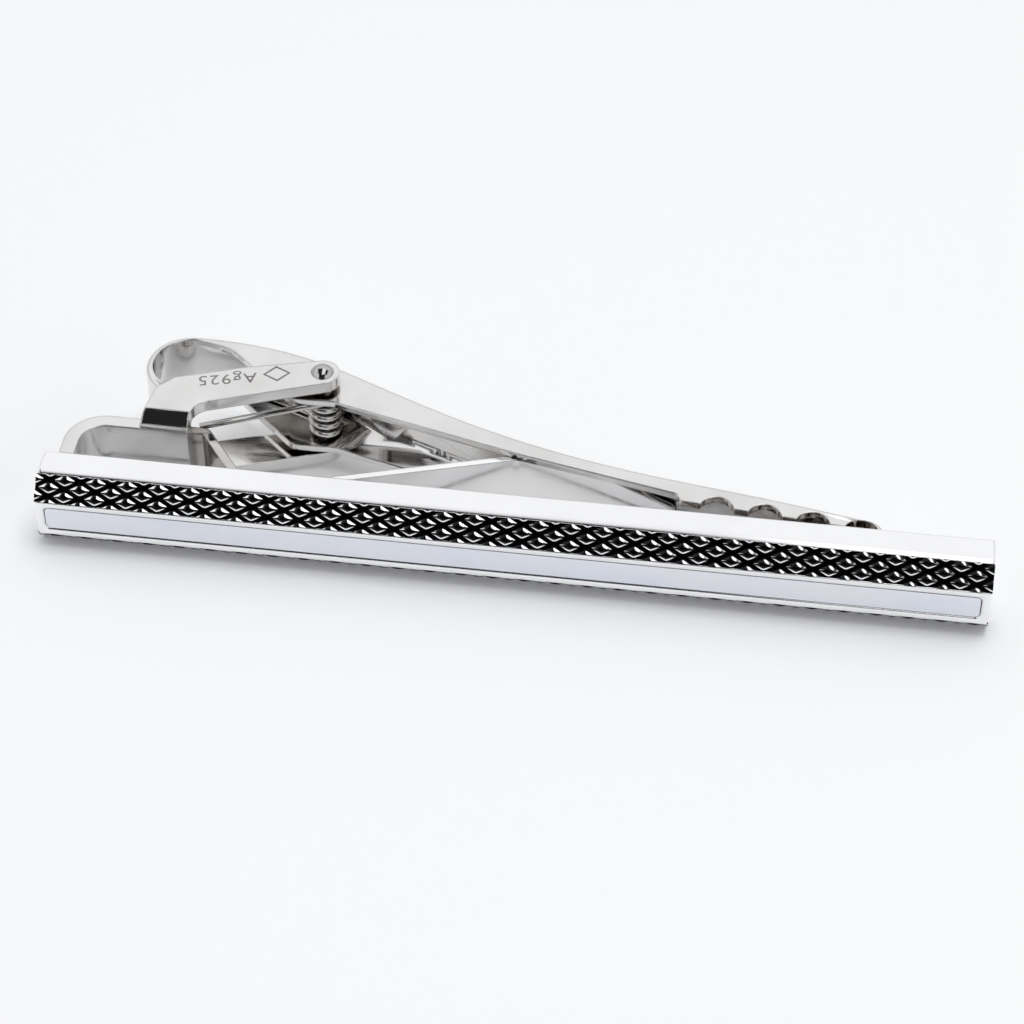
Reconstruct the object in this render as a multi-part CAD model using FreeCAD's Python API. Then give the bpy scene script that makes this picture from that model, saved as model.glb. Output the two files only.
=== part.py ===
import FreeCAD, Part
import math
import os

os.makedirs("parts", exist_ok=True)

# A tie bar: a faceted silver bar with a pearl inlay and two blackened relief bands,
# and behind it an alligator clasp. A bracket on the bar's back carries a sprung
# channel lever, with a thumb roll at one end and scalloped teeth at the other.
#
# Frame, in millimetres: the origin is the centre of the bar's back face. +X runs
# along the bar from the thumb roll to the jaw's tip, +Y points away from the bar's
# back into the clasp, and +Z runs up across the bar's height.

# ---- the bar ----
bar_length = 57.0
bar_height = 5.1
bar_depth = 3.3
facet_run = 1.3              # each 45 degree facet, measured along Y and along Z
side_crown = 0.07            # how far the long sides bulge
bar_edge_radius = 0.22
bar_end_radius = 0.20

# ---- relief bands, let into the two facets ----
band_border = 0.07           # plain metal left along each edge of a facet
band_depth = 0.40
band_proud = 0.06            # crest of the relief above the facet

# ---- pearl inlay, let into the front ----
inlay_rim = 0.43             # plain metal above and below the recess
inlay_end_margin = 0.55
inlay_recess_depth = 0.60
inlay_sunk = 0.07            # the pearl lies this far below the bar's front
inlay_corner_radius = 0.30
inlay_gap = 0.03             # cement line round the pearl
recess_bevel = 0.10

# ---- lever, one folded channel ----
lever_height = 4.3
lever_sheet = 0.45
lever_edge_radius = 0.40
thumb_roll_radius = 2.75
thumb_roll_end_angle = 262.0
tooth_count = 4
tooth_pitch = 2.87
tooth_arch_radius = 1.05
tooth_arch_sink = 0.25       # arch centres lie this far below the line of the tips
tooth_line_slope = 0.09      # the tips close in on the bar towards the jaw's end
last_arch_from_tip = 1.40
jaw_gap = 0.05               # between the last tooth and the bar when shut
jaw_tip_from_pivot = 35.05
roll_from_pivot = 8.6        # the thumb roll's centre, along the bar
roll_above_pivot = 0.9

# ---- pivot ----
pivot_from_end = 15.5        # from the bar's left end
pivot_height = 8.4           # from the bar's back
pin_radius = 0.55
pin_in_lever_clearance = 0.05
pin_in_ear_clearance = 0.01
rivet_head_radius = 0.72
rivet_dome_height = 0.42
rivet_peen_height = 0.15

# ---- bracket ----
ear_sheet = 0.80
ear_side_clearance = 0.35    # between each ear and the lever's flange
ear_end_radius = 1.05
web_sheet = 0.90
web_stand_off = 2.75         # from the bar's back to the web
foot_from_end = 0.85         # from the bar's left end to the foot
foot_bend_radius = 1.50
bracket_bend_radius = 1.20
foot_height = 4.8
ears_from_pivot = 10.3       # where the ears begin to rise from the web
web_end_from_pivot = 7.35    # the cut end of the web
ear_waist_from_pivot = 4.8
ear_waist_drop = 0.22
ear_waist_radius = 9.0
ear_shoulder_from_pivot = 9.7
ear_shoulder_drop = 2.0
ear_shoulder_radius = 1.5
ear_throat_drop = 3.9        # below the pivot, where the near edge turns down to the web
ear_throat_radius = 1.3
ear_throat_lead = 0.10

# ---- strut, the bridge's right foot ----
strut_sheet = 0.55
strut_height = 3.2
strut_bend_radius = 0.65
strut_lap = 2.2              # length soldered to the back of the web
strut_bend_beyond_web = 1.0
strut_foot_beyond_web = 4.1

# ---- stop leaf, inside the lever's mouth ----
leaf_sheet = 0.43
leaf_stop_gap = 0.45         # between the leaf's free end and the bar when shut
leaf_tip_half_height = 0.45
leaf_stop_from_pivot = 1.9
leaf_bend_from_pivot = 12.65
leaf_bend_height = 3.85      # above the bar's back
leaf_bend_radius = 1.2
leaf_tip_from_pivot = 22.4
leaf_tip_height = 2.05
leaf_taper_from_pivot = 18.6
leaf_taper_radius = 3.0
leaf_tip_corner_radius = 0.35

# ---- torsion spring ----
wire_diameter = 0.42
turn_spacing = 0.64          # the turns stand a little apart
spring_bore_clearance = 0.075
spring_side_clearance = 0.04
leg_rest_gap = 0.01
leg_press_gap = 0.03
rest_beyond_web = 0.35       # where the lower leg ends, past the web's cut end
press_from_pivot = 4.6       # where the upper leg ends, under the lever's back wall

# ---- values worked out from the sizes above ----
half_length = bar_length / 2.0
half_height = bar_height / 2.0
front_y = -bar_depth
facet_top_y = front_y + facet_run
front_half = half_height - facet_run
pivot_x = -half_length + pivot_from_end
pivot_y = pivot_height
lever_half = lever_height / 2.0
channel_half = lever_half - lever_sheet
ear_inner = lever_half + ear_side_clearance
ear_outer = ear_inner + ear_sheet
web_far_y = web_stand_off + web_sheet
TINY = 1e-6


def vec(x, y, z=0.0):
    return FreeCAD.Vector(x, y, z)


def save(shape, name):
    """Write one node, after a check that it is sound."""
    if not shape.isValid():
        raise RuntimeError(name + " is not a valid shape")
    shape.exportStep("parts/" + name + ".step")
    print("%-20s %d solid(s) %9.3f mm3" % (name, len(shape.Solids), shape.Volume))


def corner_arc(before, corner, after, radius):
    """The tangent arc that rounds one corner of an outline: start, middle and end."""
    to_before = (before - corner).normalize()
    to_after = (after - corner).normalize()
    half_angle = to_before.getAngle(to_after) / 2.0
    reach = radius / math.tan(half_angle)
    start = corner + to_before * reach
    end = corner + to_after * reach
    bisector = (to_before + to_after).normalize()
    centre = corner + bisector * (radius / math.sin(half_angle))
    middle = centre - bisector * radius
    return start, middle, end


def outline_edges(corners, closed=True):
    """Edges through corners given as (point, radius), each corner rounded by its radius."""
    count = len(corners)
    spans = []
    for index, (point, radius) in enumerate(corners):
        is_end = not closed and index in (0, count - 1)
        if radius <= 0.0 or is_end:
            spans.append((point, None, point))
            continue
        before = corners[index - 1][0]
        after = corners[(index + 1) % count][0]
        spans.append(corner_arc(before, point, after, radius))
    edges = []
    for index in range(count):
        start, middle, end = spans[index]
        if middle is not None:
            edges.append(Part.Arc(start, middle, end).toShape())
        if index == count - 1 and not closed:
            break
        following = spans[(index + 1) % count][0]
        if (following - end).Length > TINY:
            edges.append(Part.LineSegment(end, following).toShape())
    return edges


def face_of(edges):
    return Part.Face(Part.Wire(Part.__sortEdges__(edges)))


def upright(face, half):
    """A plan outline, drawn on XY, made solid from -half to +half in Z."""
    moved = face.copy()
    moved.translate(vec(0, 0, -half))
    return moved.extrude(vec(0, 0, 2.0 * half))


def along_bar(points):
    """A section given as (y, z) corners, made solid over the bar's whole length."""
    corners = [(vec(-half_length, y, z), 0.0) for y, z in points]
    return face_of(outline_edges(corners)).extrude(vec(bar_length, 0, 0))


def cylinder(radius, x, y, z_low, z_high):
    return Part.makeCylinder(radius, z_high - z_low, vec(x, y, z_low))


# ---------------------------------------------------------------------------
# Relief bands: one plain strip per facet, from one end of the bar to the other.
# ---------------------------------------------------------------------------
facet_half_width = facet_run * math.sqrt(2.0) / 2.0
facet_mid_y = (front_y + facet_top_y) / 2.0
facet_mid_z = (front_half + half_height) / 2.0
DIAGONAL = math.sqrt(0.5)


def band_section(below, above):
    """Corners of a strip on the upper facet, from below to above its surface."""
    reach = facet_half_width - band_border
    corners = []
    for along, out in ((-reach, -below), (reach, -below), (reach, above), (-reach, above)):
        y = facet_mid_y + (along - out) * DIAGONAL
        z = facet_mid_z + (along + out) * DIAGONAL
        corners.append((y, z))
    return corners


def mirrored(points):
    return [(y, -z) for y, z in points]


upper_band = along_bar(band_section(band_depth, band_proud))
lower_band = along_bar(mirrored(band_section(band_depth, band_proud)))

# ---------------------------------------------------------------------------
# Bar: one faceted bar, crowned on its long sides, with a recess for the pearl
# in its front and a channel for a relief band in each facet.
# ---------------------------------------------------------------------------
side_mid_y = facet_top_y / 2.0


def bar_blank():
    x = -half_length
    upper = [
        Part.LineSegment(vec(x, front_y, front_half), vec(x, facet_top_y, half_height)).toShape(),
        Part.Arc(
            vec(x, facet_top_y, half_height),
            vec(x, side_mid_y, half_height + side_crown),
            vec(x, 0, half_height),
        ).toShape(),
    ]
    lower = [edge.mirror(vec(0, 0, 0), vec(0, 0, 1)) for edge in upper]
    back = Part.LineSegment(vec(x, 0, half_height), vec(x, 0, -half_height)).toShape()
    front = Part.LineSegment(vec(x, front_y, -front_half), vec(x, front_y, front_half)).toShape()
    blank = face_of(upper + lower + [back, front]).extrude(vec(bar_length, 0, 0))
    long_edges = []
    for edge in blank.Edges:
        middle = edge.CenterOfMass
        is_long = edge.Length > bar_length - TINY
        if is_long and middle.y > -TINY:
            long_edges.append(edge)
    blank = blank.makeFillet(bar_edge_radius, long_edges)
    end_edges = []
    for edge in blank.Edges:
        box = edge.BoundBox
        at_end = box.XLength < TINY and abs(abs(box.XMin) - half_length) < TINY
        if at_end:
            end_edges.append(edge)
    return blank.makeFillet(bar_end_radius, end_edges)


def inlay_plan(half_long, half_high, corner_radius, y):
    corners = []
    for x, z in ((-1, -1), (1, -1), (1, 1), (-1, 1)):
        corners.append((vec(x * half_long, y, z * half_high), corner_radius))
    return face_of(outline_edges(corners))


recess_half_long = half_length - inlay_end_margin
recess_half_high = front_half - inlay_rim
recess_floor_y = front_y + inlay_recess_depth

recess = inlay_plan(recess_half_long, recess_half_high, inlay_corner_radius, front_y)
recess = recess.extrude(vec(0, inlay_recess_depth, 0))
front_bar = bar_blank().cut(recess)
rim_edges = []
for edge in front_bar.Edges:
    box = edge.BoundBox
    on_front = box.YLength < TINY and abs(box.YMin - front_y) < TINY
    inside = box.ZMax < recess_half_high + TINY and box.ZMin > -recess_half_high - TINY
    if on_front and inside and box.XMax < recess_half_long + TINY and box.XMin > -recess_half_long - TINY:
        rim_edges.append(edge)
front_bar = front_bar.makeChamfer(recess_bevel, rim_edges)
front_bar = front_bar.cut(along_bar(band_section(band_depth, 2.0 * band_depth)))
front_bar = front_bar.cut(along_bar(mirrored(band_section(band_depth, 2.0 * band_depth))))

pearl = inlay_plan(
    recess_half_long - inlay_gap,
    recess_half_high - inlay_gap,
    inlay_corner_radius - inlay_gap,
    front_y + inlay_sunk,
)
pearl = pearl.extrude(vec(0, inlay_recess_depth - inlay_sunk, 0))

# ---------------------------------------------------------------------------
# Bracket: a strip that stands on the bar's back with one foot, and whose web
# folds round at both edges into two ears that reach up to the pivot.
# ---------------------------------------------------------------------------
foot_x = -half_length + foot_from_end
web_left_x = pivot_x - ears_from_pivot
web_right_x = pivot_x - web_end_from_pivot


def bracket_strip():
    far_radius = foot_bend_radius + web_sheet
    inner_x = foot_x + web_sheet
    corners = [
        (vec(foot_x, 0), 0.0),
        (vec(foot_x, web_far_y), far_radius),
        (vec(web_right_x, web_far_y), 0.0),
        (vec(web_right_x, web_stand_off), 0.0),
        (vec(inner_x, web_stand_off), foot_bend_radius),
        (vec(inner_x, 0), 0.0),
    ]
    return upright(face_of(outline_edges(corners)), foot_height / 2.0)


def bracket_fold():
    """The U section of the web and both ears, swept along the bar."""
    beyond = pivot_y + 3.0 * ear_end_radius
    x = web_left_x - 1.0
    reach = pivot_x + 2.0 * ear_end_radius - x
    bend = bracket_bend_radius
    inner_bend = bend - ear_sheet
    outer = [
        (vec(x, beyond, -ear_outer), 0.0),
        (vec(x, web_stand_off, -ear_outer), bend),
        (vec(x, web_stand_off, ear_outer), bend),
        (vec(x, beyond, ear_outer), 0.0),
    ]
    inner = [
        (vec(x, beyond, -ear_inner), 0.0),
        (vec(x, web_far_y, -ear_inner), inner_bend),
        (vec(x, web_far_y, ear_inner), inner_bend),
        (vec(x, beyond, ear_inner), 0.0),
    ]
    solid = face_of(outline_edges(outer)).extrude(vec(reach, 0, 0))
    return solid.cut(face_of(outline_edges(inner)).extrude(vec(reach, 0, 0)))


def ear_plan():
    """Outline of both ears seen along the pivot: a tapered arm with a round end."""
    near_turn = math.radians(-67.0)
    far_turn = math.radians(105.0)
    radius = ear_end_radius
    near = vec(pivot_x + radius * math.cos(near_turn), pivot_y + radius * math.sin(near_turn))
    far = vec(pivot_x + radius * math.cos(far_turn), pivot_y + radius * math.sin(far_turn))
    tip = vec(pivot_x + radius, pivot_y)
    waist = vec(pivot_x - ear_waist_from_pivot, pivot_y - ear_waist_drop)
    shoulder = vec(pivot_x - ear_shoulder_from_pivot, pivot_y - ear_shoulder_drop)
    throat = vec(web_right_x + ear_throat_lead, pivot_y - ear_throat_drop)
    arm = [
        (far, 0.0),
        (waist, ear_waist_radius),
        (shoulder, ear_shoulder_radius),
        (vec(web_left_x, web_stand_off), 0.0),
        (vec(web_right_x, web_stand_off), 0.0),
        (throat, ear_throat_radius),
        (near, 0.0),
    ]
    edges = outline_edges(arm, closed=False)
    edges.append(Part.Arc(near, tip, far).toShape())
    return face_of(edges)


ears = bracket_fold().common(upright(ear_plan(), ear_outer + 1.0))
bracket = bracket_strip().fuse(ears).removeSplitter()
ear_bore = pin_radius + pin_in_ear_clearance
bracket = bracket.cut(cylinder(ear_bore, pivot_x, pivot_y, -ear_outer - 1, ear_outer + 1))

# ---------------------------------------------------------------------------
# Strut: a narrower strip soldered behind the web, bent back down to the bar.
# ---------------------------------------------------------------------------
strut_far_y = web_far_y + strut_sheet
strut_left_x = web_right_x - strut_lap
strut_bend_x = web_right_x + strut_bend_beyond_web
strut_foot_x = web_right_x + strut_foot_beyond_web


def strut_plan():
    run = vec(strut_foot_x, 0) - vec(strut_bend_x, strut_far_y)
    side = vec(run.y, -run.x).normalize() * strut_sheet
    slope = run.x / run.y
    inner_bend_x = strut_bend_x + side.x + (web_far_y - (strut_far_y + side.y)) * slope
    inner_foot_x = strut_foot_x + side.x - side.y * slope
    corners = [
        (vec(strut_left_x, strut_far_y), 0.0),
        (vec(strut_bend_x, strut_far_y), strut_bend_radius),
        (vec(strut_foot_x, 0), 0.0),
        (vec(inner_foot_x, 0), 0.0),
        (vec(inner_bend_x, web_far_y), strut_bend_radius - strut_sheet),
        (vec(strut_left_x, web_far_y), 0.0),
    ]
    return face_of(outline_edges(corners))


strut = upright(strut_plan(), strut_height / 2.0)

# ---------------------------------------------------------------------------
# Lever: a folded channel, open towards the bar. Its back wall runs from the jaw's
# tip up over the pivot and rolls round into the thumb piece.
# ---------------------------------------------------------------------------
roll_x = pivot_x - roll_from_pivot
roll_y = pivot_y + roll_above_pivot
roll_inner_radius = thumb_roll_radius - lever_sheet
jaw_tip_x = pivot_x + jaw_tip_from_pivot
jaw_tip = vec(jaw_tip_x, jaw_gap)

back_wall = [
    vec(jaw_tip_x - 1.15, 1.20),
    vec(pivot_x + 28.7, 2.13),
    vec(pivot_x + 20.2, 3.49),
    vec(pivot_x + 12.1, 5.52),
    vec(pivot_x + 3.6, pivot_y + 0.58),
    vec(pivot_x - 1.0, pivot_y + 2.52),
    vec(pivot_x - 4.9, pivot_y + 3.42),
    vec(roll_x, roll_y + thumb_roll_radius),
]


def wall_curve(inset):
    """The back wall's curve, moved towards the bar by inset."""
    outer = Part.BSplineCurve()
    start_tangent = vec(-0.985, 0.17)
    outer.interpolate(back_wall, InitialTangent=start_tangent, FinalTangent=vec(-1, 0))
    if inset <= 0.0:
        return outer
    points = []
    for point in back_wall:
        along = outer.tangent(outer.parameter(point))[0]
        points.append(point + vec(-along.y, along.x) * inset)
    inner = Part.BSplineCurve()
    inner.interpolate(points, InitialTangent=start_tangent, FinalTangent=vec(-1, 0))
    return inner


def tooth_line(x):
    """Height of the tooth tips above the bar's back."""
    return jaw_gap + tooth_line_slope * (jaw_tip_x - x)


def roll_point(radius, angle):
    turn = math.radians(angle)
    return vec(roll_x + radius * math.cos(turn), roll_y + radius * math.sin(turn))


def lever_plan():
    outer = wall_curve(0.0)
    tip_top = outer.StartPoint
    tip_middle = vec(jaw_tip_x - 0.22, 0.72)
    end_angle = thumb_roll_end_angle
    roll_outer = Part.Arc(
        roll_point(thumb_roll_radius, 90.0),
        roll_point(thumb_roll_radius, (90.0 + end_angle) / 2.0),
        roll_point(thumb_roll_radius, end_angle),
    )
    roll_cap = Part.LineSegment(
        roll_point(thumb_roll_radius, end_angle),
        roll_point(roll_inner_radius, end_angle),
    )
    roll_inner = Part.Arc(
        roll_point(roll_inner_radius, end_angle),
        roll_point(roll_inner_radius, (90.0 + end_angle) / 2.0),
        roll_point(roll_inner_radius, 90.0),
    )
    first_tooth_x = pivot_x + 22.9
    free_edge = [
        (roll_point(roll_inner_radius, 90.0), 0.0),
        (vec(pivot_x - 6.2, pivot_y + 2.62), 3.0),
        (vec(pivot_x - 1.9, pivot_y - 1.45), 1.2),
        (vec(pivot_x + 0.7, pivot_y - 1.36), 2.0),
        (vec(pivot_x + 12.9, 3.84), 30.0),
        (vec(first_tooth_x - 0.3, 1.72), 0.25),
        (vec(first_tooth_x, tooth_line(first_tooth_x)), 0.2),
        (jaw_tip, 0.0),
    ]
    edges = [Part.Arc(jaw_tip, tip_middle, tip_top).toShape(), outer.toShape()]
    edges += [roll_outer.toShape(), roll_cap.toShape(), roll_inner.toShape()]
    edges += outline_edges(free_edge, closed=False)
    return face_of(edges)


def cavity_plan():
    """The hollow of the channel: inside the back wall, and out past the free edge."""
    inner = wall_curve(lever_sheet)
    jaw_end = inner.StartPoint
    roll_end = inner.EndPoint
    floor_y = -1.0
    edges = [inner.toShape()]
    edges.append(Part.LineSegment(roll_end, vec(roll_end.x, floor_y)).toShape())
    edges.append(Part.LineSegment(vec(roll_end.x, floor_y), vec(jaw_end.x, floor_y)).toShape())
    edges.append(Part.LineSegment(vec(jaw_end.x, floor_y), jaw_end).toShape())
    return face_of(edges)


def lever_solid():
    blank = upright(lever_plan(), lever_half)
    outer = wall_curve(0.0)
    rounded = []
    for edge in blank.Edges:
        box = edge.BoundBox
        if box.ZLength > TINY:
            continue
        middle = edge.valueAt((edge.FirstParameter + edge.LastParameter) / 2.0)
        on_wall = outer.toShape().distToShape(Part.Vertex(vec(middle.x, middle.y)))[0] < 1e-4
        from_roll = math.hypot(middle.x - roll_x, middle.y - roll_y)
        on_roll = abs(from_roll - thumb_roll_radius) < 1e-4 and edge.Length > thumb_roll_radius
        on_tip = middle.x > outer.StartPoint.x + 0.1 and middle.y > jaw_gap + 0.1
        if on_wall or on_roll or on_tip:
            rounded.append(edge)
    blank = blank.makeFillet(lever_edge_radius, rounded)
    solid = blank.cut(upright(cavity_plan(), channel_half))
    for tooth in range(tooth_count):
        x = jaw_tip_x - last_arch_from_tip - tooth * tooth_pitch
        y = tooth_line(x) - tooth_arch_sink
        solid = solid.cut(cylinder(tooth_arch_radius, x, y, -lever_half - 1, lever_half + 1))
    bore = pin_radius + pin_in_lever_clearance
    return solid.cut(cylinder(bore, pivot_x, pivot_y, -lever_half - 1, lever_half + 1))


lever = lever_solid()

# ---------------------------------------------------------------------------
# Stop leaf: a tongue soldered between the lever's flanges. Its free end is bent
# down towards the bar, so that the cloth can't slide into the hinge.
# ---------------------------------------------------------------------------
leaf_bend_x = pivot_x + leaf_bend_from_pivot
leaf_stop_x = pivot_x + leaf_stop_from_pivot
leaf_tip_x = pivot_x + leaf_tip_from_pivot
leaf_taper_x = pivot_x + leaf_taper_from_pivot


def leaf_solid():
    stop = vec(leaf_stop_x, leaf_stop_gap)
    bend = vec(leaf_bend_x, leaf_bend_height)
    tip = vec(leaf_tip_x, leaf_tip_height)
    stop_run = bend - stop
    tip_run = tip - bend
    stop_side = vec(-stop_run.y, stop_run.x).normalize() * leaf_sheet
    tip_side = vec(-tip_run.y, tip_run.x).normalize() * leaf_sheet
    half_turn = stop_run.getAngle(tip_run) / 2.0
    across = (stop_side + tip_side).normalize() * (leaf_sheet / math.cos(half_turn))
    corners = [
        (stop, 0.0),
        (bend, leaf_bend_radius),
        (tip, 0.0),
        (tip + tip_side, 0.0),
        (bend + across, leaf_bend_radius + leaf_sheet),
        (stop + stop_side, 0.0),
    ]
    leaf = upright(face_of(outline_edges(corners)), channel_half)
    side_view = [
        (vec(leaf_stop_x - 1.0, -1.0, -channel_half), 0.0),
        (vec(leaf_taper_x, -1.0, -channel_half), leaf_taper_radius),
        (vec(leaf_tip_x + 0.2, -1.0, -leaf_tip_half_height), leaf_tip_corner_radius),
        (vec(leaf_tip_x + 0.2, -1.0, leaf_tip_half_height), leaf_tip_corner_radius),
        (vec(leaf_taper_x, -1.0, channel_half), leaf_taper_radius),
        (vec(leaf_stop_x - 1.0, -1.0, channel_half), 0.0),
    ]
    keep = face_of(outline_edges(side_view)).extrude(vec(0, leaf_bend_height + 3.0, 0))
    return leaf.common(keep)


leaf = leaf_solid()

# ---------------------------------------------------------------------------
# Torsion spring: open turns round the pivot. One leg lies on the strut, and the
# other presses the lever's back wall away from the bar, which shuts the jaw.
# ---------------------------------------------------------------------------
coil_radius = pin_radius + spring_bore_clearance + wire_diameter / 2.0
coil_half = channel_half - spring_side_clearance - wire_diameter / 2.0
rest_point = vec(web_right_x + rest_beyond_web, strut_far_y + wire_diameter / 2.0 + leg_rest_gap)


def press_end():
    """Where the upper leg ends: just under the inside of the lever's back wall."""
    x = pivot_x - press_from_pivot
    plumb = Part.LineSegment(vec(x, pivot_y), vec(x, pivot_y + 2.0 * thumb_roll_radius)).toShape()
    wall = plumb.distToShape(wall_curve(lever_sheet).toShape())[1][0][0]
    return vec(x, wall.y - wire_diameter / 2.0 - leg_press_gap)


press_point = press_end()


def tangent_angle(point, turn_sign):
    """Direction of the line from the coil, tangent to it, that ends at point."""
    span = point - vec(pivot_x, pivot_y)
    lean = math.asin(coil_radius / span.Length)
    return math.atan2(span.y, span.x) - turn_sign * lean


def level_leg(start, way, rise, sign, length):
    """A leg that leaves the coil at its slope, levels out in a short elbow and runs on."""
    elbow_radius = 4.0 * wire_diameter
    normal = vec(0, -way.z, way.y)
    centre = start - normal * (elbow_radius * sign)
    disc = Part.Face(Part.Wire(Part.makeCircle(wire_diameter / 2.0, start, way)))
    elbow = disc.revolve(centre, vec(-1, 0, 0), math.degrees(rise))
    leg_start = centre + vec(0, 0, elbow_radius * sign)
    elbow_run = abs(leg_start.y - start.y)
    leg = Part.makeCylinder(wire_diameter / 2.0, length - elbow_run, leg_start, vec(0, sign, 0))
    return elbow.fuse(leg)


def spring_solid():
    rest_way = tangent_angle(rest_point, 1.0)
    press_way = tangent_angle(press_point, -1.0)
    start_turn = rest_way + math.pi / 2.0
    end_turn = press_way - math.pi / 2.0
    full_turn = 2.0 * math.pi
    part_turn = ((end_turn - start_turn) % full_turn) / full_turn
    height = 2.0 * coil_half
    turns = part_turn + math.floor(height / turn_spacing - part_turn)
    pitch = height / turns
    helix = Part.makeHelix(pitch, height, coil_radius)
    rise = math.atan2(pitch, 2.0 * math.pi * coil_radius)
    start = vec(coil_radius, 0, 0)
    way = vec(0, math.cos(rise), math.sin(rise))
    ring = Part.Wire(Part.makeCircle(wire_diameter / 2.0, start, way))
    coil = Part.Wire(helix).makePipeShell([ring], True, True)
    end_spin = 360.0 * turns
    seam_tolerance = 1e-3
    leg_to_rest = (rest_point - vec(pivot_x, pivot_y)).Length
    leg_to_press = (press_point - vec(pivot_x, pivot_y)).Length
    rest_length = math.sqrt(leg_to_rest ** 2 - coil_radius ** 2)
    press_length = math.sqrt(leg_to_press ** 2 - coil_radius ** 2)
    first_leg = level_leg(start, way, rise, -1.0, rest_length)
    last_leg = level_leg(start, way, rise, 1.0, press_length)
    last_leg.rotate(vec(0, 0, 0), vec(0, 0, 1), end_spin)
    last_leg.translate(vec(0, 0, height))
    spring = coil.fuse([first_leg, last_leg], seam_tolerance)
    spring.translate(vec(0, 0, -coil_half))
    spring = spring.mirror(vec(0, 0, 0), vec(0, 0, 1))
    spring.rotate(vec(0, 0, 0), vec(0, 0, 1), math.degrees(start_turn))
    spring.translate(vec(pivot_x, pivot_y, 0))
    return spring


spring = spring_solid()

# ---------------------------------------------------------------------------
# Pivot rivet: a pin through both ears, domed on top and peened over below.
# ---------------------------------------------------------------------------


def rivet_solid():
    shank = cylinder(pin_radius, pivot_x, pivot_y, -ear_outer, ear_outer)
    dome_sphere = (rivet_head_radius ** 2 + rivet_dome_height ** 2) / (2.0 * rivet_dome_height)
    ball = Part.makeSphere(dome_sphere, vec(pivot_x, pivot_y, ear_outer + rivet_dome_height - dome_sphere))
    cap = cylinder(rivet_head_radius, pivot_x, pivot_y, ear_outer, ear_outer + rivet_dome_height)
    dome = ball.common(cap)
    peen = Part.makeCone(
        rivet_head_radius - rivet_peen_height,
        rivet_head_radius,
        rivet_peen_height,
        vec(pivot_x, pivot_y, -ear_outer - rivet_peen_height),
    )
    return shank.fuse([dome, peen]).removeSplitter()


rivet = rivet_solid()

save(front_bar, "front_bar")
save(upper_band, "upper_relief_band")
save(lower_band, "lower_relief_band")
save(pearl, "pearl_inlay")
save(bracket, "hinge_bracket")
save(strut, "bridge_strut")
save(lever, "lever_jaw")
save(leaf, "tie_stop_leaf")
save(spring, "torsion_spring")
save(rivet, "pivot_rivet")
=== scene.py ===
import math

import bmesh
import bpy
from mathutils import Matrix, Vector


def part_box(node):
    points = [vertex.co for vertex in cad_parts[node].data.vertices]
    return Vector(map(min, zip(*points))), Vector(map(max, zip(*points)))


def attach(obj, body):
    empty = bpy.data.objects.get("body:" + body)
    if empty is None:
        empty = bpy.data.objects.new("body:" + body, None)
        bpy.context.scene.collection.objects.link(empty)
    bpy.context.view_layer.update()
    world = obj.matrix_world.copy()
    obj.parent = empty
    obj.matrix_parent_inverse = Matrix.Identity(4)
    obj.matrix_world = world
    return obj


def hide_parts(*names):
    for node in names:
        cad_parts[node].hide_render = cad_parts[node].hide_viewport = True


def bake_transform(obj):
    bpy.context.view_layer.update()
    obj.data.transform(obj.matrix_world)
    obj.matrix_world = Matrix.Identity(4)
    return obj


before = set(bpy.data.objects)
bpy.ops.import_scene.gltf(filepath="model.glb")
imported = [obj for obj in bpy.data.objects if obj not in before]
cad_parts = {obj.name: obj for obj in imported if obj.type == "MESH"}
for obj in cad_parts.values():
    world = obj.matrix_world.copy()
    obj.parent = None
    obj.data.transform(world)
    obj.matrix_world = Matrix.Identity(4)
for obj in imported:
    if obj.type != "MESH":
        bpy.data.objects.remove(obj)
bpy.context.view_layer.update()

MM = 0.001

# ---------------------------------------------------------------------------
# Front bar: one solid silver bar with two 45 degree facets, crowned long sides
# and a recess in its front. It is milled, plated with rhodium and polished to a
# mirror, so all it shows of its own is a trace of handling and polishing lines.
# ---------------------------------------------------------------------------


def new_group(name, inputs, outputs):
    """A shader node group with these sockets, each given as (name, type, default)."""
    group = bpy.data.node_groups.new(name, "ShaderNodeTree")
    for label, kind, value in inputs:
        socket = group.interface.new_socket(label, in_out="INPUT", socket_type=kind)
        if value is not None:
            socket.default_value = value
    for label, kind in outputs:
        group.interface.new_socket(label, in_out="OUTPUT", socket_type=kind)
    return group


def set_range(node, from_low, from_high, to_low, to_high):
    for label, value in (
        ("From Min", from_low),
        ("From Max", from_high),
        ("To Min", to_low),
        ("To Max", to_high),
    ):
        node.inputs[label].default_value = value


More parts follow.
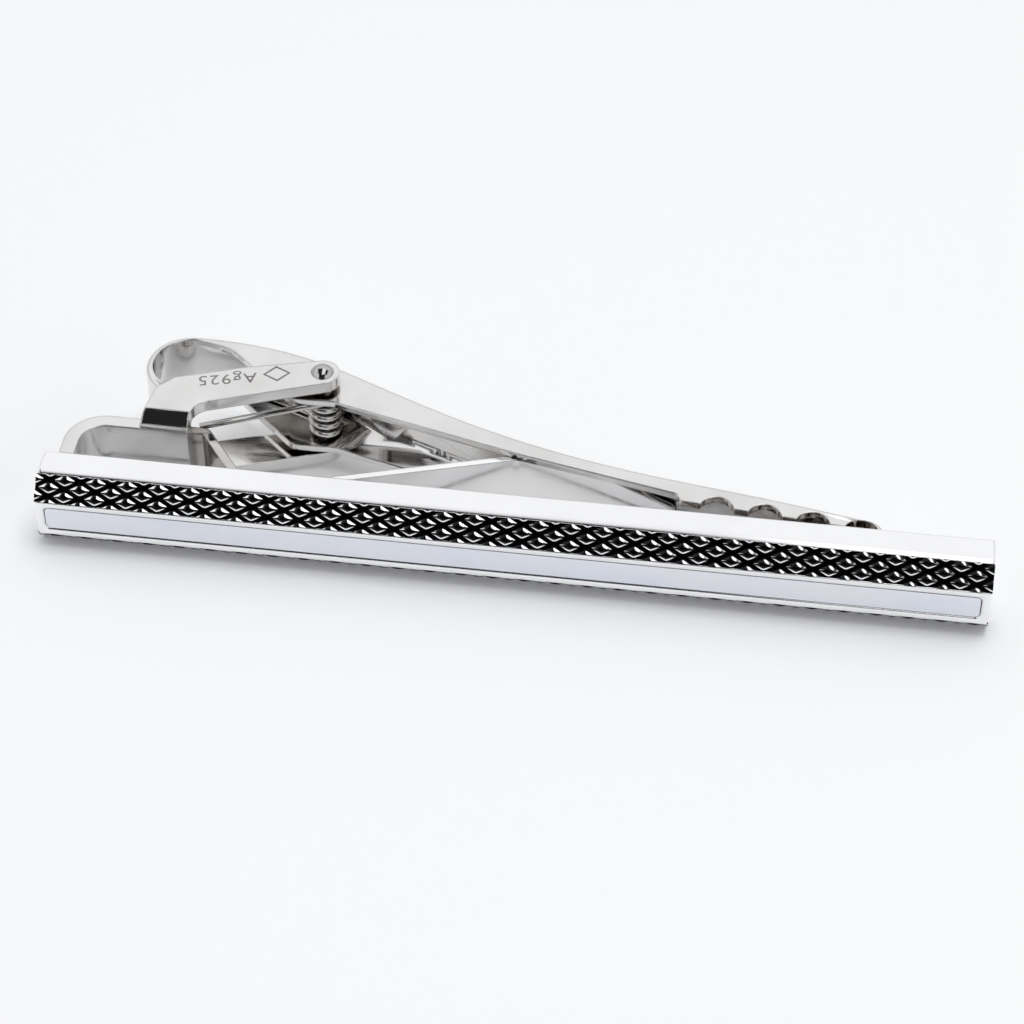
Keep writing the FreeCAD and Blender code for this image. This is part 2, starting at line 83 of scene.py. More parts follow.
def hairline_group():
    """Polishing lines and stray scratches: long noise streaks, thinned to hairlines."""
    group = new_group(
        "polishing_hairlines",
        [
            ("Place", "NodeSocketVector", None),
            ("Lines per metre", "NodeSocketFloat", 9000.0),
            ("Coverage", "NodeSocketFloat", 0.3),
        ],
        [("Lines", "NodeSocketFloat"), ("Haze", "NodeSocketFloat")],
    )
    nodes, links = group.nodes, group.links
    enter = nodes.new("NodeGroupInput")
    leave = nodes.new("NodeGroupOutput")
    streaks = []
    for turn, stretch in ((0.10, 0.035), (-0.62, 0.05), (1.18, 0.06)):
        lay = nodes.new("ShaderNodeMapping")
        lay.inputs["Rotation"].default_value = (turn * 0.6, turn, turn * 0.8)
        lay.inputs["Scale"].default_value = (stretch, 1.0, 1.0)
        noise = nodes.new("ShaderNodeTexNoise")
        noise.inputs["Detail"].default_value = 1.0
        edge = nodes.new("ShaderNodeMapRange")
        set_range(edge, 0.66, 0.74, 0.0, 1.0)
        links.new(enter.outputs["Place"], lay.inputs["Vector"])
        links.new(lay.outputs["Vector"], noise.inputs["Vector"])
        links.new(enter.outputs["Lines per metre"], noise.inputs["Scale"])
        links.new(noise.outputs["Fac"], edge.inputs["Value"])
        streaks.append(edge.outputs["Result"])
    both = nodes.new("ShaderNodeMath")
    both.operation = "MAXIMUM"
    links.new(streaks[0], both.inputs[0])
    links.new(streaks[1], both.inputs[1])
    every = nodes.new("ShaderNodeMath")
    every.operation = "MAXIMUM"
    links.new(both.outputs[0], every.inputs[0])
    links.new(streaks[2], every.inputs[1])
    patch = nodes.new("ShaderNodeTexNoise")
    patch.inputs["Scale"].default_value = 260.0
    patch.inputs["Detail"].default_value = 3.0
    links.new(enter.outputs["Place"], patch.inputs["Vector"])
    haze = nodes.new("ShaderNodeMapRange")
    set_range(haze, 0.42, 0.68, 0.0, 1.0)
    links.new(patch.outputs["Fac"], haze.inputs["Value"])
    shown = nodes.new("ShaderNodeMath")
    shown.operation = "MULTIPLY"
    links.new(every.outputs[0], shown.inputs[0])
    links.new(enter.outputs["Coverage"], shown.inputs[1])
    links.new(shown.outputs[0], leave.inputs["Lines"])
    links.new(haze.outputs["Result"], leave.inputs["Haze"])
    return group


hairlines = hairline_group()


def polished_metal(name, clean, handled, roughness, hazed, coverage, depth, buff, painted_shade, nook):
    """Polished metal: handled tones, hairlines, buffed edges, and painted shade, a darker colour
    mixed in by ambient occlusion, in nooks this wide.
    """
    material = bpy.data.materials.new(name)
    material.use_nodes = True
    nodes, links = material.node_tree.nodes, material.node_tree.links
    shader = nodes["Principled BSDF"]
    shader.inputs["Metallic"].default_value = 1.0
    where = nodes.new("ShaderNodeTexCoord")
    wear = nodes.new("ShaderNodeGroup")
    wear.node_tree = hairlines
    wear.inputs["Coverage"].default_value = coverage
    links.new(where.outputs["Object"], wear.inputs["Place"])
    tone = nodes.new("ShaderNodeMix")
    tone.data_type = "RGBA"
    tone.inputs["A"].default_value = (*clean, 1.0)
    tone.inputs["B"].default_value = (*handled, 1.0)
    links.new(wear.outputs["Haze"], tone.inputs["Factor"])
    # painted shade: ambient occlusion within the nook distance mixes the colour towards a darker
    # shade tone, so corners and hollows come out dark
    open_air = nodes.new("ShaderNodeAmbientOcclusion")
    open_air.samples = 8
    open_air.inputs["Distance"].default_value = nook
    painted_shade_mask = nodes.new("ShaderNodeMapRange")
    painted_shade_mask.interpolation_type = "SMOOTHSTEP"
    set_range(painted_shade_mask, 0.20, 0.72, 1.0, 0.0)
    links.new(open_air.outputs["AO"], painted_shade_mask.inputs["Value"])
    surface = nodes.new("ShaderNodeMix")
    surface.data_type = "RGBA"
    surface.inputs["B"].default_value = (*painted_shade, 1.0)
    links.new(painted_shade_mask.outputs["Result"], surface.inputs["Factor"])
    links.new(tone.outputs["Result"], surface.inputs["A"])
    links.new(surface.outputs["Result"], shader.inputs["Base Color"])
    gloss = nodes.new("ShaderNodeMapRange")
    set_range(gloss, 0.0, 1.0, roughness, hazed)
    links.new(wear.outputs["Haze"], gloss.inputs["Value"])
    links.new(gloss.outputs["Result"], shader.inputs["Roughness"])
    bump = nodes.new("ShaderNodeBump")
    bump.invert = True
    bump.inputs["Distance"].default_value = depth
    links.new(wear.outputs["Lines"], bump.inputs["Height"])
    edges = nodes.new("ShaderNodeBevel")
    edges.samples = 6
    edges.inputs["Radius"].default_value = buff
    links.new(edges.outputs["Normal"], bump.inputs["Normal"])
    links.new(bump.outputs["Normal"], shader.inputs["Normal"])
    return material


def from_frame(node, name, sharp_degrees=28.0):
    """A merged, smooth-shaded copy of a node's mesh, which stands for that node."""
    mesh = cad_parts[node].data.copy()
    mesh.name = name
    mesh.materials.clear()
    bm = bmesh.new()
    bm.from_mesh(mesh)
    bmesh.ops.remove_doubles(bm, verts=bm.verts, dist=0.0005 * MM)
    bmesh.ops.dissolve_degenerate(bm, edges=bm.edges, dist=0.0005 * MM)
    bm.to_mesh(mesh)
    bm.free()
    mesh.shade_smooth()
    mesh.set_sharp_from_angle(angle=math.radians(sharp_degrees))
    piece = bpy.data.objects.new(name, mesh)
    bpy.context.scene.collection.objects.link(piece)
    even = piece.modifiers.new("even_normals", "WEIGHTED_NORMAL")
    even.keep_sharp = True
    even.weight = 100
    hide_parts(node)
    return piece


bar = from_frame("front_bar", "polished_bar")
# the bar's near-black shade tone in nooks 0.3 mm wide draws dark lines round the pearl's recess:
# painted shade
bar.data.materials.append(
    polished_metal(
        "rhodium_silver",
        clean=(0.93, 0.93, 0.94),
        handled=(0.90, 0.90, 0.915),
        roughness=0.035,
        hazed=0.085,
        coverage=0.25,
        depth=0.0006 * MM,
        buff=0.10 * MM,
        painted_shade=(0.10, 0.10, 0.11),
        nook=0.30 * MM,
    )
)
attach(bar, "bar")

# ---------------------------------------------------------------------------
# Relief bands: rows of small rhombic pillows, rolled into both facets. The metal
# is coloured black, and bright silver is painted along each pillow's sides, as lenses along
# the upper two and a V along the lower two, where highlights fall: painted highlights.
# The black crown star between them is partly black plating and partly a painted reflection
# of a dark opening.
# ---------------------------------------------------------------------------
RHOMB_LONG = 1.9035 * MM      # along the bar
RHOMB_TALL = 1.00 * MM        # up the facet
PILLOW_RISE = 0.115 * MM
PILLOW_PROUD = 0.04 * MM      # crests above the plain strip
GROOVE_SHARE = 0.28           # part of each pillow's half width that is groove
PILLOW_SWELL = 2.3            # how flat the crown is before the sides fall away
UPPER_HIGHLIGHT = 0.40              # depth of the lens-shaped painted highlights along the upper sides, and of the painted V highlight along the lower ones, as shares of the half width
LOWER_HIGHLIGHT = 0.27              # the V along the lower ones, as shares of the half width
PILLOW_STEPS = 20
ROW_COUNT = 5
TOP_ROW_DROP = 0.30 * MM      # from the band's upper edge to the first full row's centres
FIRST_CENTRE = 1.779 * MM     # from the bar's left end to a centre in the third row
BAND_BACK = 0.30 * MM         # from the crests to the back of the strip
BAND_THICK = 0.46 * MM        # the strip's own thickness, squared off its box
FACET_SLOPE = math.radians(45.0)
HIGHLIGHT_EDGE = 0.05               # how softly a painted highlight begins, as a share of the half width


def pillow_height(u, v):
    """Height share over one rhomb, with u and v from -1 to 1 between its sides."""
    reach = 1.0 - GROOVE_SHARE
    inside_u = min(abs(u) / reach, 1.0)
    inside_v = min(abs(v) / reach, 1.0)
    return (1.0 - inside_u ** PILLOW_SWELL) * (1.0 - inside_v ** PILLOW_SWELL)


def painted_highlight(u, v):
    """How far a point lies inside the nearest painted highlight, and below zero outside them
    all.
    """
    reach = 1.0 - GROOVE_SHARE
    best = -1.0
    for across, along in ((u, v), (-v, u)):
        inward = reach - across
        span = 1.0 - (along / reach) ** 2
        best = max(best, min(inward, UPPER_HIGHLIGHT * span - inward))
    for across, along in ((-u, v), (v, -u)):
        inward = min(reach - across, reach - along)
        span = max(0.0, (reach + along) / (2.0 * reach)) ** 0.6
        best = max(best, min(inward, LOWER_HIGHLIGHT * span - (reach - across)))
    return best


def relief_sheet():
    """The flat-backed strip of pillows: x along the bar, y up the facet, z out of it."""
    low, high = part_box("upper_relief_band")
    length = high.x - low.x
    strip_tall = (high.z - low.z) / math.cos(FACET_SLOPE) - BAND_THICK
    bm = bmesh.new()
    bmesh.ops.create_grid(bm, x_segments=PILLOW_STEPS, y_segments=PILLOW_STEPS, size=1.0)
    # each vertex keeps how far it lies inside a painted highlight
    cut = bm.verts.layers.float.new("painted_highlight")
    for vert in bm.verts:
        u, v = vert.co.x, vert.co.y
        vert[cut] = painted_highlight(u, v)
        x = (u + v) * RHOMB_LONG / 4.0
        y = (u - v) * RHOMB_TALL / 4.0
        vert.co = Vector((x, y, PILLOW_RISE * (pillow_height(u, v) - 1.0)))
    columns = math.ceil(length / RHOMB_LONG) + 1
    first = bm.verts[:] + bm.edges[:] + bm.faces[:]
    for row in range(1, ROW_COUNT):
        copy = bmesh.ops.duplicate(bm, geom=first)["geom"]
        verts = [item for item in copy if isinstance(item, bmesh.types.BMVert)]
        shift = (row % 2) * RHOMB_LONG / 2.0
        bmesh.ops.translate(bm, verts=verts, vec=(shift, -row * RHOMB_TALL / 2.0, 0.0))
    one_column = bm.verts[:] + bm.edges[:] + bm.faces[:]
    for column in range(1, columns + 1):
        copy = bmesh.ops.duplicate(bm, geom=one_column)["geom"]
        verts = [item for item in copy if isinstance(item, bmesh.types.BMVert)]
        bmesh.ops.translate(bm, verts=verts, vec=(column * RHOMB_LONG, 0.0, 0.0))
    bmesh.ops.remove_doubles(bm, verts=bm.verts, dist=0.002 * MM)
    first_row_y = strip_tall / 2.0 - TOP_ROW_DROP + RHOMB_TALL / 2.0
    start_x = low.x + FIRST_CENTRE - 1.5 * RHOMB_LONG
    bmesh.ops.translate(bm, verts=bm.verts, vec=(start_x, first_row_y, 0.0))
    for point, outward in (
        ((low.x, 0.0, 0.0), (-1.0, 0.0, 0.0)),
        ((high.x, 0.0, 0.0), (1.0, 0.0, 0.0)),
        ((0.0, strip_tall / 2.0, 0.0), (0.0, 1.0, 0.0)),
        ((0.0, -strip_tall / 2.0, 0.0), (0.0, -1.0, 0.0)),
    ):
        bmesh.ops.bisect_plane(
            bm,
            geom=bm.verts[:] + bm.edges[:] + bm.faces[:],
            dist=0.001 * MM,
            plane_co=point,
            plane_no=outward,
            clear_outer=True,
        )
    bmesh.ops.remove_doubles(bm, verts=bm.verts, dist=0.001 * MM)
    rim = [edge for edge in bm.edges if edge.is_boundary]
    skirt = bmesh.ops.extrude_edge_only(bm, edges=rim)["geom"]
    for vert in skirt:
        if isinstance(vert, bmesh.types.BMVert):
            vert.co.z = -BAND_BACK
            vert[cut] = -1.0
    foot = [edge for edge in bm.edges if edge.is_boundary]
    bmesh.ops.holes_fill(bm, edges=foot, sides=0)
    bmesh.ops.triangulate(bm, faces=[face for face in bm.faces if len(face.verts) > 4])
    bmesh.ops.recalc_face_normals(bm, faces=bm.faces)
    return bm


def black_relief_with_painted_highlights():
    """Black ground in the grooves and on the crowns, partly plating and partly a painted
    reflection, with painted highlights along the sides.
    """
    material = bpy.data.materials.new("black_relief_painted_highlights")
    material.use_nodes = True
    nodes, links = material.node_tree.nodes, material.node_tree.links
    shader = nodes["Principled BSDF"]
    shader.inputs["Metallic"].default_value = 1.0
    where = nodes.new("ShaderNodeTexCoord")
    inside = nodes.new("ShaderNodeAttribute")
    inside.attribute_name = "painted_highlight"
    highlight_mask = nodes.new("ShaderNodeMapRange")
    highlight_mask.interpolation_type = "SMOOTHSTEP"
    set_range(highlight_mask, 0.0, HIGHLIGHT_EDGE, 0.0, 1.0)
    links.new(inside.outputs["Fac"], highlight_mask.inputs["Value"])
    # the black ground is partly plating and partly a painted reflection of a dark opening, and
    # it turns to bright silver inside each painted highlight
    tone = nodes.new("ShaderNodeMix")
    tone.data_type = "RGBA"
    tone.inputs["A"].default_value = (0.018, 0.018, 0.020, 1.0)
    tone.inputs["B"].default_value = (0.90, 0.90, 0.91, 1.0)
    links.new(highlight_mask.outputs["Result"], tone.inputs["Factor"])
    links.new(tone.outputs["Result"], shader.inputs["Base Color"])
    gloss = nodes.new("ShaderNodeMapRange")
    set_range(gloss, 0.0, 1.0, 0.22, 0.05)
    links.new(highlight_mask.outputs["Result"], gloss.inputs["Value"])
    links.new(gloss.outputs["Result"], shader.inputs["Roughness"])
    grain = nodes.new("ShaderNodeTexNoise")
    grain.inputs["Scale"].default_value = 9000.0
    grain.inputs["Detail"].default_value = 2.0
    links.new(where.outputs["Object"], grain.inputs["Vector"])
    bump = nodes.new("ShaderNodeBump")
    bump.inputs["Strength"].default_value = 0.35
    bump.inputs["Distance"].default_value = 0.0012 * MM
    links.new(grain.outputs["Fac"], bump.inputs["Height"])
    links.new(bump.outputs["Normal"], shader.inputs["Normal"])
    return material


relief_paint = black_relief_with_painted_highlights()
for node, side in (("upper_relief_band", 1.0), ("lower_relief_band", -1.0)):
    low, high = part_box(node)
    bm = relief_sheet()
    tilt = Matrix.Rotation(math.pi / 2.0 - FACET_SLOPE * side, 4, "X")
    if side < 0.0:
        bmesh.ops.rotate(bm, verts=bm.verts, matrix=Matrix.Rotation(math.pi, 3, "Z"))
    bmesh.ops.transform(bm, matrix=tilt, verts=bm.verts)
    outward = Vector((0.0, -1.0, side)).normalized()
    middle = (low + high) / 2.0
    crest_offset = BAND_THICK / 2.0 + PILLOW_PROUD
    seat = Vector((0.0, middle.y, middle.z)) + outward * crest_offset
    bmesh.ops.translate(bm, verts=bm.verts, vec=seat)
    mesh = bpy.data.meshes.new(node + "_pillows")
    bm.to_mesh(mesh)
    bm.free()
    mesh.shade_smooth()
    mesh.set_sharp_from_angle(angle=math.radians(24.0))
    mesh.materials.append(relief_paint)
    band = bpy.data.objects.new(node + "_pillows", mesh)
    bpy.context.scene.collection.objects.link(band)
    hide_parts(node)
    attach(band, "bar")

# ---------------------------------------------------------------------------
# Pearl inlay: one long slip of white mother-of-pearl, ground flat, polished and
# cemented into the recess in the bar's front. Its layers show as faint bluish and
# rosy clouds drawn out along its length, and a part-metallic finish gives the lustre.
# ---------------------------------------------------------------------------


def mother_of_pearl():
    material = bpy.data.materials.new("white_mother_of_pearl")
    material.use_nodes = True
    nodes, links = material.node_tree.nodes, material.node_tree.links
    shader = nodes["Principled BSDF"]
    shader.inputs["Metallic"].default_value = 0.55
    shader.inputs["Coat Weight"].default_value = 0.6
    shader.inputs["Coat Roughness"].default_value = 0.04
    shader.inputs["IOR"].default_value = 1.6
    where = nodes.new("ShaderNodeTexCoord")
    draw = nodes.new("ShaderNodeMapping")
    draw.inputs["Scale"].default_value = (0.30, 1.0, 1.0)
    links.new(where.outputs["Object"], draw.inputs["Vector"])
    cloud = nodes.new("ShaderNodeTexNoise")
    cloud.inputs["Scale"].default_value = 420.0
    cloud.inputs["Detail"].default_value = 5.0
    cloud.inputs["Distortion"].default_value = 0.6
    links.new(draw.outputs["Vector"], cloud.inputs["Vector"])
    lustre = nodes.new("ShaderNodeValToRGB")
    ramp = lustre.color_ramp
    ramp.elements[0].position = 0.30
    ramp.elements[0].color = (0.80, 0.84, 0.93, 1.0)
    ramp.elements[1].position = 0.72
    ramp.elements[1].color = (0.89, 0.885, 0.93, 1.0)
    middle = ramp.elements.new(0.5)
    middle.color = (0.86, 0.88, 0.955, 1.0)
    links.new(cloud.outputs["Fac"], lustre.inputs["Fac"])
    links.new(lustre.outputs["Color"], shader.inputs["Base Color"])
    layers = nodes.new("ShaderNodeTexNoise")
    layers.inputs["Scale"].default_value = 1500.0
    layers.inputs["Detail"].default_value = 3.0
    links.new(draw.outputs["Vector"], layers.inputs["Vector"])
    gloss = nodes.new("ShaderNodeMapRange")
    set_range(gloss, 0.3, 0.7, 0.10, 0.22)
    links.new(layers.outputs["Fac"], gloss.inputs["Value"])
    links.new(gloss.outputs["Result"], shader.inputs["Roughness"])
    bump = nodes.new("ShaderNodeBump")
    bump.inputs["Strength"].default_value = 0.2
    bump.inputs["Distance"].default_value = 0.002 * MM
    links.new(layers.outputs["Fac"], bump.inputs["Height"])
    links.new(bump.outputs["Normal"], shader.inputs["Normal"])
    return material


pearl = from_frame("pearl_inlay", "pearl_slip")
pearl.data.materials.append(mother_of_pearl())
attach(pearl, "bar")

# ---------------------------------------------------------------------------
# Clasp sheet metal: the bracket with its foot, web and two ears, and the strut
# soldered behind it. Both are silver strip, pressed and folded, then polished less
# carefully than the bar, so they keep hairline scratches and a slightly warm tone.
# ---------------------------------------------------------------------------


def sheet_metal(name, clean, handled, painted_shade, nook):
    """Clasp sheet: polished, scratched by use, with its sheared edges buffed round."""
    return polished_metal(
        name,
        clean=clean,
        handled=handled,
        roughness=0.05,
        hazed=0.13,
        coverage=0.8,
        depth=0.0014 * MM,
        buff=0.17 * MM,
        painted_shade=painted_shade,
        nook=nook,
    )


bracket = from_frame("hinge_bracket", "folded_bracket")
bracket.data.materials.append(
    sheet_metal(
        "bracket_silver",
        clean=(0.78, 0.772, 0.763),
        handled=(0.71, 0.698, 0.686),
        painted_shade=(0.40, 0.37, 0.345),
        nook=0.5 * MM,
    )
)
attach(bracket, "bar")

strut = from_frame("bridge_strut", "soldered_strut")
# the strut is the same silver strip as the bracket but given a darker, browner tone, and
# near-black over nooks 1.6 mm wide: painted shade and painted reflection
strut.data.materials.append(
    sheet_metal(
        "strut_silver_painted_shade",
        clean=(0.62, 0.60, 0.58),
        handled=(0.50, 0.47, 0.45),
        painted_shade=(0.085, 0.065, 0.055),
        nook=1.6 * MM,
    )
)
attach(strut, "bar")

# ---------------------------------------------------------------------------
# Stamps on the upper ear: the silver's fineness and a plain rhomb. The real ones are
# struck in with punches. Here their strokes are plates laid on the ear, a few thousandths
# of a millimetre proud and coloured dark for the shade in struck grooves: painted shade.
# They read from the clasp's side.
# ---------------------------------------------------------------------------
MARK_AT = (-18.67 * MM, 6.98 * MM)
MARK_TALL = 1.25 * MM
MARK_TURN = math.radians(193.0)
RHOMB_AT = (-15.75 * MM, 7.85 * MM)
RHOMB_HALF = (0.86 * MM, 0.72 * MM)
STROKE = 0.13 * MM
ACROSS_CORNER = 1.4           # a stroke's width along the rhomb's diagonals, against across it
STAMP_THICK = 0.006 * MM
ear_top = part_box("hinge_bracket")[1].z

mark_curve = bpy.data.curves.new("fineness_mark", "FONT")
mark_curve.body = "Ag925"
mark_curve.size = MARK_TALL
mark_curve.space_character = 1.15
mark_curve.align_x = "CENTER"
mark_curve.align_y = "CENTER"
mark_text = bpy.data.objects.new("fineness_mark", mark_curve)
flat_mark = bpy.data.meshes.new_from_object(mark_text)
bm = bmesh.new()
bm.from_mesh(flat_mark)
bpy.data.objects.remove(mark_text)
bpy.data.meshes.remove(flat_mark)
mark_turn = Matrix.Rotation(MARK_TURN, 3, "Z")
bmesh.ops.rotate(bm, verts=bm.verts, matrix=mark_turn)
bmesh.ops.translate(bm, verts=bm.verts, vec=(*MARK_AT, 0.0))
rings = []
for inset in (0.0, STROKE * ACROSS_CORNER):
    reach_x = RHOMB_HALF[0] - inset
    reach_y = RHOMB_HALF[1] - inset
    corners = ((reach_x, 0.0), (0.0, reach_y), (-reach_x, 0.0), (0.0, -reach_y))
    ring = []
    for corner in corners:
        spot = mark_turn @ Vector((*corner, 0.0)) + Vector((*RHOMB_AT, 0.0))
        ring.append(bm.verts.new(spot))
    rings.append(ring)
for side in range(4):
    after = (side + 1) % 4
    bm.faces.new((rings[0][side], rings[0][after], rings[1][after], rings[1][side]))
for face in bm.faces:
    face.normal_update()
    if face.normal.z < 0.0:
        face.normal_flip()
bmesh.ops.remove_doubles(bm, verts=bm.verts, dist=0.0005 * MM)
raised = bmesh.ops.extrude_face_region(bm, geom=bm.faces[:], use_keep_orig=True)["geom"]
tops = [item for item in raised if isinstance(item, bmesh.types.BMVert)]
bmesh.ops.translate(bm, verts=tops, vec=(0.0, 0.0, STAMP_THICK))
bmesh.ops.translate(bm, verts=bm.verts, vec=(0.0, 0.0, ear_top - STAMP_THICK / 2.0))
bmesh.ops.recalc_face_normals(bm, faces=bm.faces)
stamp_mesh = bpy.data.meshes.new("ear_stamps")
bm.to_mesh(stamp_mesh)
bm.free()
stamps = bpy.data.objects.new("ear_stamps", stamp_mesh)
bpy.context.scene.collection.objects.link(stamps)
# the plates are coloured dark for the shade inside struck grooves: painted shade
stamp_mesh.materials.append(
    polished_metal(
        "stamp_silver_painted_shade",
        clean=(0.34, 0.33, 0.32),
        handled=(0.22, 0.21, 0.20),
        roughness=0.35,
        hazed=0.5,
        coverage=0.5,
        depth=0.0010 * MM,
        buff=0.01 * MM,
        painted_shade=(0.10, 0.09, 0.085),
        nook=0.05 * MM,
    )
)
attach(stamps, "bar")

# ---------------------------------------------------------------------------
# Lever and stop leaf: one channel folded from silver strip, with a thumb roll at
# its tail and teeth nibbled out of both flanges. The leaf is a tongue soldered
# between the flanges. The two swing together on the rivet.
# ---------------------------------------------------------------------------
lever = from_frame("lever_jaw", "channel_lever")
# the wide 2.6 mm nook turns the whole inside of the channel brown: painted shade and painted
# reflection
lever.data.materials.append(
    sheet_metal(
        "lever_silver",
        clean=(0.78, 0.772, 0.763),
        handled=(0.71, 0.698, 0.686),
        painted_shade=(0.33, 0.285, 0.25),
        nook=2.6 * MM,
    )
)
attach(lever, "lever")

leaf = from_frame("tie_stop_leaf", "stop_leaf")
# the leaf is the same silver as the lever but given a lighter tone and a pale shade colour, so
# it reads brighter: painted light
leaf.data.materials.append(
    sheet_metal(
        "leaf_silver_painted_light",
        clean=(0.96, 0.955, 0.95),
        handled=(0.93, 0.92, 0.91),
        painted_shade=(0.70, 0.67, 0.64),
        nook=0.5 * MM,
    )
)
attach(leaf, "lever")

# ---------------------------------------------------------------------------
# Torsion spring: drawn steel wire, wound in open turns round the rivet. One leg
# lies on the strut and the other presses the lever's back wall, so the coil twists
# a little tighter as the jaw opens.
# ---------------------------------------------------------------------------
spring = from_frame("torsion_spring", "wound_spring", sharp_degrees=60.0)
spring.data.materials.append(
    polished_metal(
        "drawn_spring_wire",
        clean=(0.70, 0.69, 0.675),
        handled=(0.58, 0.565, 0.55),
        roughness=0.12,
        hazed=0.24,
        coverage=0.8,
        depth=0.0015 * MM,
        buff=0.02 * MM,
        painted_shade=(0.08, 0.07, 0.06),
        nook=0.35 * MM,
    )
)
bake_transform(spring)

# ---------------------------------------------------------------------------
# Pivot rivet: a silver pin through both ears, with a domed head above and its
# lower end peened flat. The dome is buffed and stands just proud of the ear.
# ---------------------------------------------------------------------------
rivet = from_frame("pivot_rivet", "domed_rivet", sharp_degrees=25.0)
# the rivet is given a much darker silver than the ears, so its dome reads dark: painted shade
rivet.data.materials.append(
    polished_metal(
        "rivet_silver",
        clean=(0.56, 0.55, 0.54),
        handled=(0.44, 0.43, 0.42),
        roughness=0.08,
        hazed=0.18,
        coverage=0.5,
        depth=0.0010 * MM,
        buff=0.05 * MM,
        painted_shade=(0.20, 0.18, 0.17),
        nook=0.25 * MM,
    )
)
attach(rivet, "bar")

# ---------------------------------------------------------------------------
# Table: a sheet of pale paper, lit a little from below. The tie bar lies on the
# bar's lower side and on the bend of the lower ear, so the paper under it slopes,
# and it runs level beyond.
# ---------------------------------------------------------------------------
bar_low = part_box("front_bar")[0]
ear_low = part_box("hinge_bracket")[0]
BAR_TOUCH_Y = -1.0 * MM
EAR_TOUCH_Y = 4.0 * MM
slope = (ear_low.z - bar_low.z) / (EAR_TOUCH_Y - BAR_TOUCH_Y)
PAPER_REACH = 1.2
LEVEL_FRONT_Y = -9.0 * MM
LEVEL_BACK_Y = 17.0 * MM


def paper_height(y):
    held = max(LEVEL_FRONT_Y, min(LEVEL_BACK_Y, y))
    return bar_low.z + slope * (held - BAR_TOUCH_Y) - 0.01 * MM


bm = bmesh.new()
start = [bm.verts.new((-PAPER_REACH, y, paper_height(y))) for y in (-PAPER_REACH, LEVEL_FRONT_Y)]
start += [bm.verts.new((-PAPER_REACH, y, paper_height(y))) for y in (LEVEL_BACK_Y, PAPER_REACH)]
edges = [bm.edges.new(pair) for pair in zip(start, start[1:])]
moved = bmesh.ops.extrude_edge_only(bm, edges=edges)["geom"]
far = [item for item in moved if isinstance(item, bmesh.types.BMVert)]
bmesh.ops.translate(bm, verts=far, vec=(2.0 * PAPER_REACH, 0.0, 0.0))
bmesh.ops.recalc_face_normals(bm, faces=bm.faces)
if bm.faces[:][0].normal.z < 0.0:
    bmesh.ops.reverse_faces(bm, faces=bm.faces)
paper_mesh = bpy.data.meshes.new("paper")
bm.to_mesh(paper_mesh)
bm.free()
paper_mesh.shade_smooth()
paper = bpy.data.objects.new("paper", paper_mesh)
bpy.context.scene.collection.objects.link(paper)
paper_stock = bpy.data.materials.new("white_paper")
paper_stock.use_nodes = True
paper_shader = paper_stock.node_tree.nodes["Principled BSDF"]
paper_shader.inputs["Base Color"].default_value = (0.955, 0.96, 0.965, 1.0)
paper_shader.inputs["Roughness"].default_value = 0.9
paper_shader.inputs["Emission Color"].default_value = (0.97, 0.98, 1.0, 1.0)
paper_shader.inputs["Emission Strength"].default_value = 0.10
paper_shader.inputs["Specular IOR Level"].default_value = 0.1
paper_mesh.materials.append(paper_stock)

# ---------------------------------------------------------------------------
# Light: the inside of a white tent with a lamp's window in its top, a dark opening
# in front and two panels left off beside the lamp, so the polished edges and the
# relief show dark lines. A soft key lamp, hidden from reflections, lights the paper.
# ---------------------------------------------------------------------------
TENT = 1.0
GLOOM = 0.02                  # what little comes through the openings
LAMP = 1.5


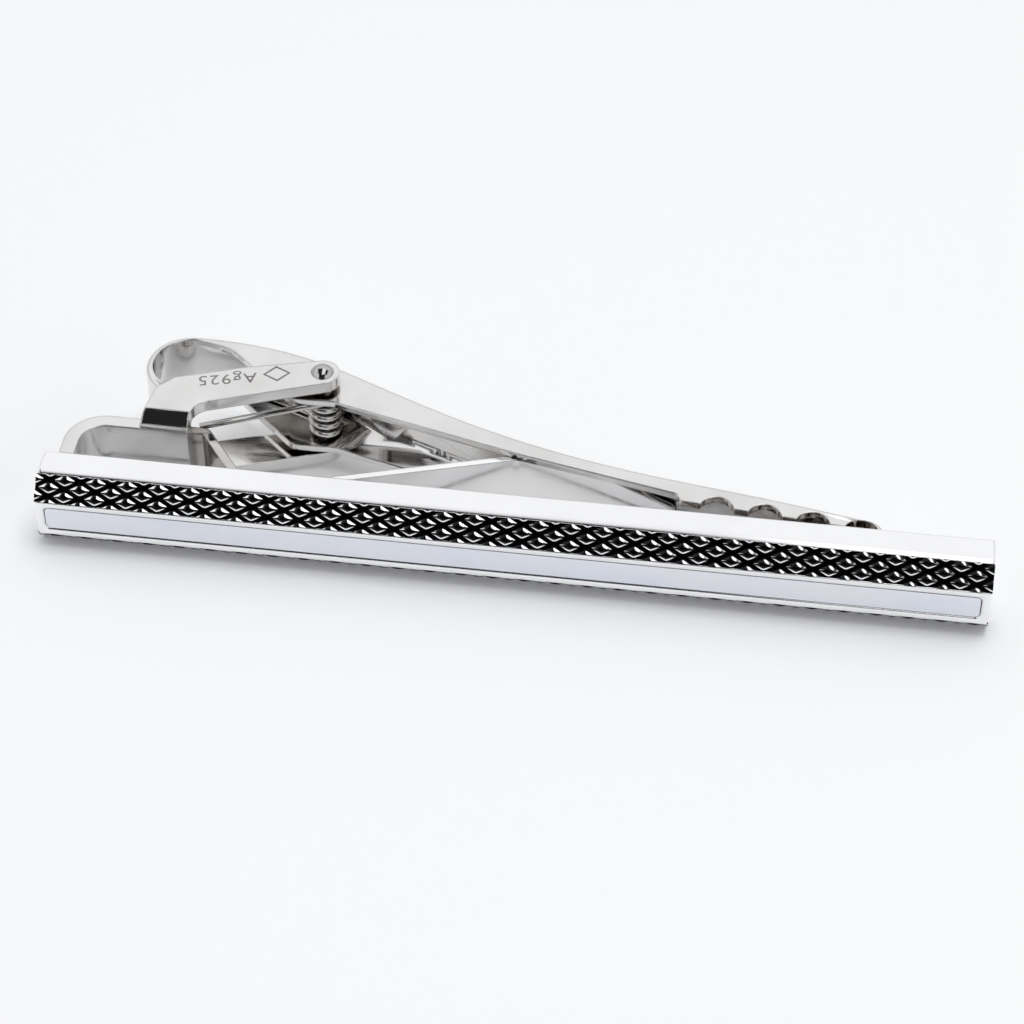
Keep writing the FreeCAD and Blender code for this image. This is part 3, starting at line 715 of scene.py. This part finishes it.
def tent_world():
    world = bpy.data.worlds.new("light_tent")
    world.use_nodes = True
    nodes, links = world.node_tree.nodes, world.node_tree.links
    backdrop = nodes["Background"]
    where = nodes.new("ShaderNodeTexCoord")
    split = nodes.new("ShaderNodeSeparateXYZ")
    links.new(where.outputs["Generated"], split.inputs["Vector"])

    def ramp(axis, low, high, start, end):
        node = nodes.new("ShaderNodeMapRange")
        node.interpolation_type = "SMOOTHSTEP"
        set_range(node, low, high, start, end)
        links.new(split.outputs[axis], node.inputs["Value"])
        return node.outputs["Result"]

    def combine(operation, *values):
        total = values[0]
        for value in values[1:]:
            node = nodes.new("ShaderNodeMath")
            node.operation = operation
            links.new(total, node.inputs[0])
            links.new(value, node.inputs[1])
            total = node.outputs[0]
        return total

    def top_gap(left_outer, left_inner, right_inner, right_outer):
        return combine(
            "MULTIPLY",
            ramp("Y", 0.48, 0.36, 0.0, 1.0),
            ramp("Y", -0.40, -0.30, 0.0, 1.0),
            ramp("Z", 0.40, 0.55, 0.0, 1.0),
            ramp("X", left_outer, left_inner, 0.0, 1.0),
            ramp("X", right_outer, right_inner, 0.0, 1.0),
        )

    # the opening: dark over the front, from a little above the table to near the top
    front = combine(
        "MULTIPLY",
        ramp("Y", -0.16, -0.30, 0.0, 1.0),
        ramp("Z", 0.18, 0.28, 0.0, 1.0),
        ramp("X", -0.46, -0.38, 0.0, 1.0),
        ramp("X", 0.52, 0.40, 0.0, 1.0),
    )
    # two panels left off the tent's top, one to the left of the lamp and one to its right
    left_gap = top_gap(-0.60, -0.53, -0.06, 0.01)
    right_gap = top_gap(0.38, 0.46, 0.64, 0.74)
    opening = combine("MAXIMUM", front, left_gap, right_gap)
    # a lamp's window in the top, a little to the right
    lamp = combine(
        "MULTIPLY",
        ramp("Z", 0.845, 0.875, 0.0, 1.0),
        ramp("X", -0.04, 0.03, 0.0, 1.0),
        ramp("X", 0.42, 0.34, 0.0, 1.0),
    )
    # the tent's back wall fades towards the table and towards its top seam
    back = combine(
        "MULTIPLY",
        ramp("Z", 0.10, 0.52, 0.62, 1.0),
        ramp("Z", 0.99, 0.80, 0.72, 1.0),
    )
    walls = nodes.new("ShaderNodeMix")
    links.new(opening, walls.inputs["Factor"])
    links.new(back, walls.inputs["A"])
    walls.inputs["B"].default_value = GLOOM
    lit = nodes.new("ShaderNodeMix")
    links.new(lamp, lit.inputs["Factor"])
    links.new(walls.outputs["Result"], lit.inputs["A"])
    lit.inputs["B"].default_value = LAMP
    level = nodes.new("ShaderNodeMath")
    level.operation = "MULTIPLY"
    level.inputs[1].default_value = TENT
    links.new(lit.outputs["Result"], level.inputs[0])
    links.new(level.outputs[0], backdrop.inputs["Strength"])
    backdrop.inputs["Color"].default_value = (0.985, 0.99, 1.0, 1.0)
    return world


scene = bpy.context.scene
scene.world = tent_world()
scene.view_settings.view_transform = "Standard"
scene.view_settings.look = "None"

key_data = bpy.data.lights.new("soft_key", "AREA")
key_data.shape = "DISK"
key_data.size = 0.18
key_data.energy = 0.215
key = bpy.data.objects.new("soft_key", key_data)
key.location = (0.03, 0.01, 0.30)
key.visible_glossy = False
key.rotation_euler = (Vector((0.0, 0.0, 0.0)) - key.location).to_track_quat("-Z", "Y").to_euler()
scene.collection.objects.link(key)

# ---------------------------------------------------------------------------
# Camera: a long lens, looking down at the bar's front from a little to its right.
# ---------------------------------------------------------------------------
AIM = Vector((-0.08, 0.0, 1.03)) * MM
DISTANCE = 185.0 * MM
AZIMUTH = math.radians(7.78)
ELEVATION = math.radians(44.0)
lens = bpy.data.cameras.new("camera")
lens.lens = 108.95
lens.sensor_width = 36.0
lens.clip_start = 0.005
camera = bpy.data.objects.new("camera", lens)
away = Vector(
    (
        math.sin(AZIMUTH) * math.cos(ELEVATION),
        -math.cos(AZIMUTH) * math.cos(ELEVATION),
        math.sin(ELEVATION),
    )
)
camera.location = AIM + away * DISTANCE
camera.rotation_euler = (-away).to_track_quat("-Z", "Y").to_euler()
scene.collection.objects.link(camera)
scene.camera = camera
